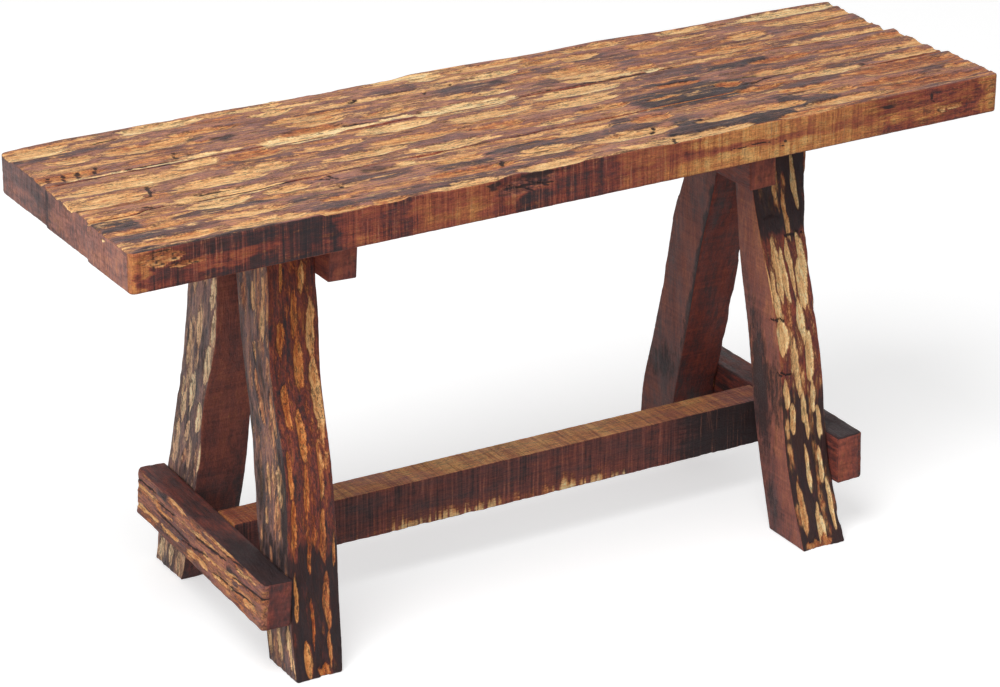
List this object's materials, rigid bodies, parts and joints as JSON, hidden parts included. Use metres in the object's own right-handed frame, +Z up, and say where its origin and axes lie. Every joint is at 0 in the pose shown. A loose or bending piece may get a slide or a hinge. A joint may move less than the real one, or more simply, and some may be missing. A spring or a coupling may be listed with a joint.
{
  "type": "rustic log bench",
  "caption": "Rustic trestle bench with an adzed plank seat on splayed, raked A-frame legs tied low down by a stretcher.",
  "frame": {"origin": "on the floor under the middle of the seat", "axes": "+Z up, +X along the bench towards its right end seen from the front, -Y towards the front"},
  "size_m": [0.9254, 0.301, 0.4484],
  "materials": {
    "hewn_wood": "oiled, adzed and scorched",
    "sawn_wood": "stained, rough sawn",
    "dowel_wood": "bare",
    "screw_steel": "zinc plated"
  },
  "bodies": {
    "root": {"seat_plank_front": "hewn_wood", "seat_plank_middle": "hewn_wood", "seat_plank_back": "hewn_wood", "leg_left_front": "hewn_wood", "leg_left_back": "hewn_wood", "leg_right_front": "hewn_wood", "leg_right_back": "hewn_wood", "ledger_left": "hewn_wood", "ledger_right": "hewn_wood", "batten_left": "sawn_wood", "batten_right": "sawn_wood", "stretcher": "sawn_wood", "seam_dowels_front": "dowel_wood", "seam_dowels_back": "dowel_wood", "ledger_dowels_left": "dowel_wood", "ledger_dowels_right": "dowel_wood", "stretcher_dowels_left": "dowel_wood", "stretcher_dowels_right": "dowel_wood", "seat_screws_left": "screw_steel", "seat_screws_right": "screw_steel", "leg_screws_left": "screw_steel", "leg_screws_right": "screw_steel"}
  },
  "joints": []
}
